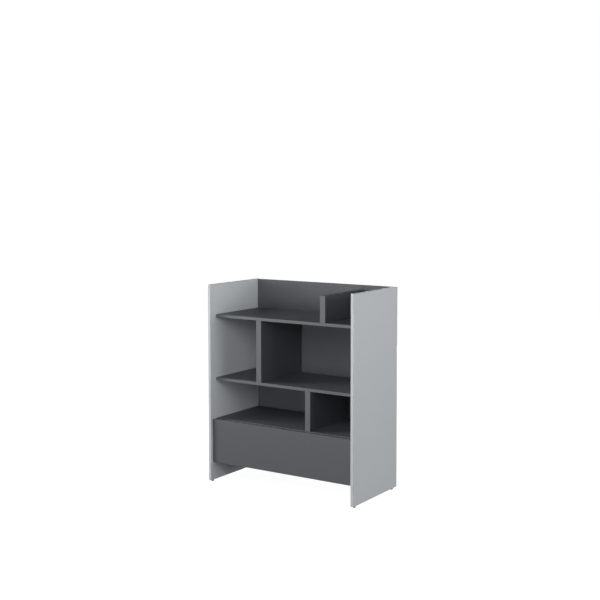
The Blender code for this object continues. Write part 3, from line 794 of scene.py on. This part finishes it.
def slide_screw():
    """A short screw with a countersunk head and a cross recess."""
    pitch, thread_start, point, chamfer = 0.0012, -0.0022, 0.0010, 0.0001
    cross_length, cross_width, cross_depth = 0.0040, 0.0009, 0.0013
    profile = [(0.0, -SLIDE_SCREW_LENGTH)]
    profile += threaded(SLIDE_SCREW_RADIUS, thread_start, point - SLIDE_SCREW_LENGTH, pitch)
    profile += [(SLIDE_SCREW_RADIUS, SLIDE_SCREW_RADIUS - SLIDE_HEAD_RADIUS)]
    profile += [(SLIDE_HEAD_RADIUS, -chamfer), (SLIDE_HEAD_RADIUS - chamfer, 0.0), (0.0, 0.0)]
    return screw_shape(profile, cross_outline(cross_length, cross_width), cross_depth)


def placed(name, shape, matrix, body, nodes=()):
    """A copy of a fitting's mesh at its place."""
    data = shape.copy()
    data.transform(matrix)
    piece = bpy.data.objects.new(name, data)
    bpy.context.scene.collection.objects.link(piece)
    finished(piece, body, nodes)


def case_fittings(cam, connector):
    for shelf_node in SHELVES:
        for side, sign in SIDES.items():
            for spot in SPOTS:
                node = f"cam_{shelf_node}_{side}_{spot}"
                at = axes((-sign, 0, 0), (0, 0, 1), cam_centre(node, sign))
                placed(f"{node}_fitting", cam, at, "case", [node])
    for divider_node in DIVIDERS:
        for spot in SPOTS:
            node = f"{divider_node}_screw_{spot}"
            at = middle_of(node)
            at.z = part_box(node)[0][2]
            placed(f"{node}_turned", connector, facing((0, 0, -1), at), "case", [node])
    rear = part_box("back_panel")[1]
    for shelf_node in SHELVES:
        for i, x in enumerate(BACK_SCREW_X):
            at = (x, rear[1], middle_of(shelf_node).z)
            placed(f"back_screw_{shelf_node}_{i}", connector, facing((0, 1, 0), at), "case")
    for side, sign in SIDES.items():
        for i, z in enumerate(BACK_CAM_Z):
            at = axes((-sign, 0, 0), (0, -1, 0), (sign * (rear[0] + GAP - BOLT_REACH), rear[1], z))
            placed(f"back_cam_{side}_{i}", cam, at, "case")


def drawer_fittings(small_cam, connector):
    cam_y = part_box("drawer_side_left")[0][1] + BOLT_REACH
    screw_y = middle_of("drawer_back").y
    for side, sign in SIDES.items():
        inner, outer = faces_of(f"drawer_side_{side}", sign)
        for i, z in enumerate(DRAWER_FIXING_Z):
            at = axes((0, 1, 0), (sign, 0, 0), (inner, cam_y, z))
            placed(f"drawer_cam_{side}_{i}", small_cam, at, "drawer")
            at = facing((sign, 0, 0), (outer, screw_y, z))
            placed(f"drawer_screw_{side}_{i}", connector, at, "drawer")


def glide_profile(radius, seat, top):
    """(radius, z) of a foot with a groove round it, up to its seat, and of its barbed stem."""
    chamfer, groove, rim = 0.0003, 0.0006, 0.0004
    profile = [
        (0.0, 0.0), (radius - 2 * GLIDE_EDGE, 0.0), (radius - GLIDE_EDGE, chamfer),
        (radius - chamfer, GLIDE_EDGE), (radius, 0.0017), (radius, 0.0034), (radius - groove, 0.0037),
        (radius - groove, 0.0042), (radius, 0.0045), (radius, seat - rim), (radius - rim, seat),
        (GLIDE_STEM_RADIUS, seat),
    ]
    barbs, first, pitch, crest, end = 5, 0.002, 0.0035, 0.0012, 0.0030
    root = GLIDE_STEM_RADIUS * 0.85
    for i in range(barbs):
        z = seat + first + i * pitch
        profile += [(root, z), (GLIDE_STEM_RADIUS, z + crest), (root, z + end)]
    return profile + [(GLIDE_STEM_RADIUS * 0.6, top), (0.0, top)]


def glides():
    for side in SIDES:
        for spot in SPOTS:
            node = f"glide_{side}_{spot}"
            low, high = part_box(node)
            radius, seat = (high[0] - low[0]) / 2, high[2] - GLIDE_STEM_LENGTH - GAP
            at = Matrix.Translation(((low[0] + high[0]) / 2, (low[1] + high[1]) / 2, low[2]))
            mesh = bmesh.new()
            add_turned(mesh, glide_profile(radius, seat, high[2]), 40, at)
            piece = object_of(f"{node}_moulded", mesh, [PLASTIC])
            finished(piece, "case", [node], 40.0)


# ---------------------------------------------------------------- slides
def slide_member(node, section, side, sign, holes, steel):
    """A rolled member with round bends; holes are (y, outline) through its web."""
    low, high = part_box(node)
    wall = faces_of(f"side_panel_{side}", sign)[0]
    z = (low[2] + high[2]) / 2
    mesh = bmesh.new()
    points = [(wall - sign * u, v) for u, v in rounded(channel(*section), BEND)]
    along = Matrix(((1, 0, 0, 0), (0, 0, 1, 0), (0, 1, 0, z), (0, 0, 0, 1)))
    add_prism(mesh, points, low[1], high[1], along)
    piece = object_of(f"{node}_rolled", mesh, [steel])
    web, tip, _, sheet = section[:4]
    web_middle = web + (sheet if tip > web else -sheet) / 2

    def openings(cutter):
        for y, outline in holes:
            at = (wall - sign * web_middle, y, z)
            add_prism(cutter, outline, -sheet, sheet, facing((1, 0, 0), at))

    cut(piece, [openings])
    return piece


def slide_pair(side, sign):
    screws = [middle_of(f"screw_slide_outer_{side}_{spot}").y for spot in SPOTS]
    centre = sum(screws) / 2

    def row(distances, outline):
        return [(centre + distance, outline) for distance in distances]

    hole = circle_outline(HOLE_RADIUS, 20)
    ends = row(END_HOLES, hole)
    heads = [(y, circle_outline(SLIDE_HEAD_RADIUS + GAP, 28)) for y in screws]
    access = [(y, circle_outline(ACCESS_RADIUS, 32)) for y in screws]
    fixed = heads + row(SLIDE_SLOTS, slot_outline(*SLIDE_SLOT)) + ends + row(INNER_HOLES, hole)
    between = access + row(MIDDLE_WINDOWS, slot_outline(*MIDDLE_WINDOW)) + ends
    outer = (GAP, OUTER_TIP, OUTER_HALF, SHEET, OUTER_LIP)
    middle = (MIDDLE_WEB, MIDDLE_TIP, MIDDLE_HALF, SHEET)
    inner = (SLIDE_SPACE - GAP, INNER_TIP, INNER_HALF, SHEET)
    members = {
        f"slide_outer_{side}": (outer, fixed, "case"),
        f"slide_middle_{side}": (middle, between, f"slide_middle_{side}"),
        f"slide_inner_{side}": (inner, fixed, "drawer"),
    }
    for node, (section, holes, body) in members.items():
        piece = slide_member(node, section, side, sign, holes, SLIDE_STEEL)
        finished(piece, body, [node], 28.0)
    outer_ball = (OUTER_BALL_X, (OUTER_HALF - SHEET + MIDDLE_HALF) / 2)
    inner_ball = (INNER_BALL_X, (MIDDLE_HALF - SHEET + INNER_HALF) / 2)
    ball_cage(f"ball_cage_outer_{side}", OUTER_CAGE, outer_ball, side, sign)
    ball_cage(f"ball_cage_inner_{side}", INNER_CAGE, inner_ball, side, sign)


def ball_cage(node, section, ball, side, sign):
    """A pressed cage with windows in its web and a row of balls through each flange.

    Ball is a ball's distance from the side panel, and its height from the slide's middle.
    """
    at = middle_of(node)
    windows = [(at.y + distance, slot_outline(*CAGE_WINDOW)) for distance in CAGE_WINDOWS]
    piece = slide_member(node, (*section, CAGE_SHEET), side, sign, windows, CAGE_STEEL)
    x = faces_of(f"side_panel_{side}", sign)[0] - sign * ball[0]
    along = [at.y + (i - (BALLS_IN_ROW - 1) / 2) * BALL_PITCH for i in range(BALLS_IN_ROW)]
    places = [Matrix.Translation((x, y, at.z + row * ball[1])) for row in (-1, 1) for y in along]

    def pockets(cutter):
        for place in places:
            add_prism(cutter, circle_outline(BALL_RADIUS + GAP, 20), -POCKET_REACH, POCKET_REACH, place)

    cut(piece, [pockets])
    mesh = bmesh.new()
    mesh.from_mesh(piece.data)
    for place in places:
        before = set(mesh.faces)
        bmesh.ops.create_uvsphere(mesh, u_segments=20, v_segments=12, radius=BALL_RADIUS, matrix=place)
        for polygon in set(mesh.faces) - before:
            polygon.material_index = 1
    mesh.to_mesh(piece.data)
    mesh.free()
    piece.data.materials.append(BALL_STEEL)
    finished(piece, node, [node], 28.0)


def slide_screws(shape):
    for member, body in (("outer", "case"), ("inner", "drawer")):
        for side, sign in SIDES.items():
            for spot in SPOTS:
                node = f"screw_slide_{member}_{side}_{spot}"
                low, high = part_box(node)
                out = -sign if member == "outer" else sign  # the way its head faces
                at = middle_of(node)
                at.x = high[0] if out > 0 else low[0]
                placed(f"{node}_turned", shape, facing((out, 0, 0), at), body, [node])


# ---------------------------------------------------------------- the object
def bookcase():
    for side, sign in SIDES.items():
        side_panel(side, sign)
    for node in SHELVES:
        shelf(node)
    for node in DIVIDERS:
        divider(node)
    back_panel()
    drawer_front()
    for side, sign in SIDES.items():
        drawer_side(side, sign)
    drawer_back()
    drawer_bottom()
    batten()
    cam = cam_shape(CAM_RADIUS, CAM_HEIGHT, BOLT_LEVEL, BOLT_RADIUS)
    small_cam = cam_shape(SMALL_CAM_RADIUS, SMALL_CAM_DEPTH, SMALL_BOLT_LEVEL, BOLT_THREAD_RADIUS)
    connector = connector_screw()
    case_fittings(cam, connector)
    drawer_fittings(small_cam, connector)
    glides()
    for side, sign in SIDES.items():
        slide_pair(side, sign)
    slide_screws(slide_screw())


# ---------------------------------------------------------------- studio
LENS, SENSOR_WIDTH = 64.878, 36.0  # millimetres
SHIFT = -0.08
CAMERA_PLACE = (3.1800, -4.8458, 1.6314)
CAMERA_TURN = (86.423, 0.0, 33.364)  # degrees

# name: azimuth in degrees from the front (right is positive), distance, height, size, watts
SOFTBOXES = {
    "key_left": (-60, 5.0, 1.5, 2.0, 181.0),
    "high_left": (-60, 4.0, 3.6, 2.0, 116.0),
    "low_left": (-40, 4.2, 0.45, 0.8, 12.0),
    "low_front": (0, 4.2, 0.45, 0.8, 60.0),
    "near_front": (15, 2.4, 2.0, 1.0, 36.0),
    "front_right": (30, 5.0, 1.5, 2.0, 49.0),
    "right": (80, 5.0, 1.5, 2.0, 66.0),
    "high_right": (90, 4.0, 3.6, 2.0, 33.0),
    "right_rear": (115, 5.0, 1.5, 2.0, 75.0),
    "rear": (-168, 5.0, 1.0, 2.0, 184.0),
}
AIM = Vector((0.0, 0.0, 0.55))

FLOOR_GREY = (0.30, 0.30, 0.30)
FLOOR_RADIUS, FLOOR_STEPS = 80.0, 96
FLOOR_DROP = 0.0002  # below the glides
FLOOR_GLOW = (0.91, 1.0, 0.7, 2.6)  # near and far, and between which distances from the object
LIGHT_BELOW = (0.09, 0.02, -0.05, 0.05)  # below and above, and between which heights of the direction


def camera():
    data = bpy.data.cameras.new("camera")
    data.lens = LENS
    data.sensor_width = SENSOR_WIDTH
    data.shift_y = SHIFT
    made = bpy.data.objects.new("camera", data)
    made.location = CAMERA_PLACE
    made.rotation_euler = [radians(angle) for angle in CAMERA_TURN]
    bpy.context.scene.collection.objects.link(made)
    bpy.context.scene.camera = made


def studio():
    for name, (azimuth, distance, height, size, watts) in SOFTBOXES.items():
        data = bpy.data.lights.new(name, "AREA")
        data.shape = "SQUARE"
        data.size = size
        data.energy = watts
        made = bpy.data.objects.new(name, data)
        angle = radians(azimuth)
        made.location = (distance * sin(angle), -distance * cos(angle), height)
        made.rotation_euler = (AIM - made.location).to_track_quat("-Z", "Y").to_euler()
        bpy.context.scene.collection.objects.link(made)


def floor():
    """A wide pale floor. It glows a little less round the object, so that a faint shadow shows there."""
    mesh = bmesh.new()
    bmesh.ops.create_circle(mesh, cap_ends=True, segments=FLOOR_STEPS, radius=FLOOR_RADIUS)
    made, tree, shader = material("studio_floor", FLOOR_GREY, 0.9, specular=0.0)
    shader.inputs["Emission Color"].default_value = (1.0, 1.0, 1.0, 1.0)
    coordinates = tree.nodes.new("ShaderNodeTexCoord")
    length = tree.nodes.new("ShaderNodeVectorMath")
    length.operation = "LENGTH"
    tree.links.new(coordinates.outputs["Object"], length.inputs[0])
    glow = ranged(tree, length.outputs["Value"], *FLOOR_GLOW)
    tree.links.new(glow, shader.inputs["Emission Strength"])
    drift = noise(tree, 1.5)
    uneven = blended(tree, drift, shade(FLOOR_GREY, 0.98), shade(FLOOR_GREY, 1.02))
    tree.links.new(uneven, shader.inputs["Base Color"])
    plane = object_of("studio_floor", mesh, [made])
    plane.location.z = -FLOOR_DROP
    plane.visible_diffuse = False
    plane.visible_glossy = False


def surroundings():
    """White behind the object, and a weak light from below as from a pale floor."""
    world = bpy.data.worlds.new("studio")
    world.use_nodes = True
    bpy.context.scene.world = world
    tree = world.node_tree
    seen = tree.nodes["Background"]
    seen.inputs["Color"].default_value = (1.0, 1.0, 1.0, 1.0)
    seen.inputs["Strength"].default_value = 1.0
    ambient = tree.nodes.new("ShaderNodeBackground")
    ambient.inputs["Strength"].default_value = 1.0
    coordinates = tree.nodes.new("ShaderNodeTexCoord")
    parts = tree.nodes.new("ShaderNodeSeparateXYZ")
    tree.links.new(coordinates.outputs["Generated"], parts.inputs["Vector"])
    below = ranged(tree, parts.outputs["Z"], *LIGHT_BELOW)
    tree.links.new(below, ambient.inputs["Color"])
    rays = tree.nodes.new("ShaderNodeLightPath")
    mixed = tree.nodes.new("ShaderNodeMixShader")
    tree.links.new(rays.outputs["Is Camera Ray"], mixed.inputs["Fac"])
    tree.links.new(ambient.outputs["Background"], mixed.inputs[1])
    tree.links.new(seen.outputs["Background"], mixed.inputs[2])
    tree.links.new(mixed.outputs["Shader"], tree.nodes["World Output"].inputs["Surface"])
    bpy.context.scene.view_settings.view_transform = "Standard"


camera()
bookcase()
floor()
studio()
surroundings()
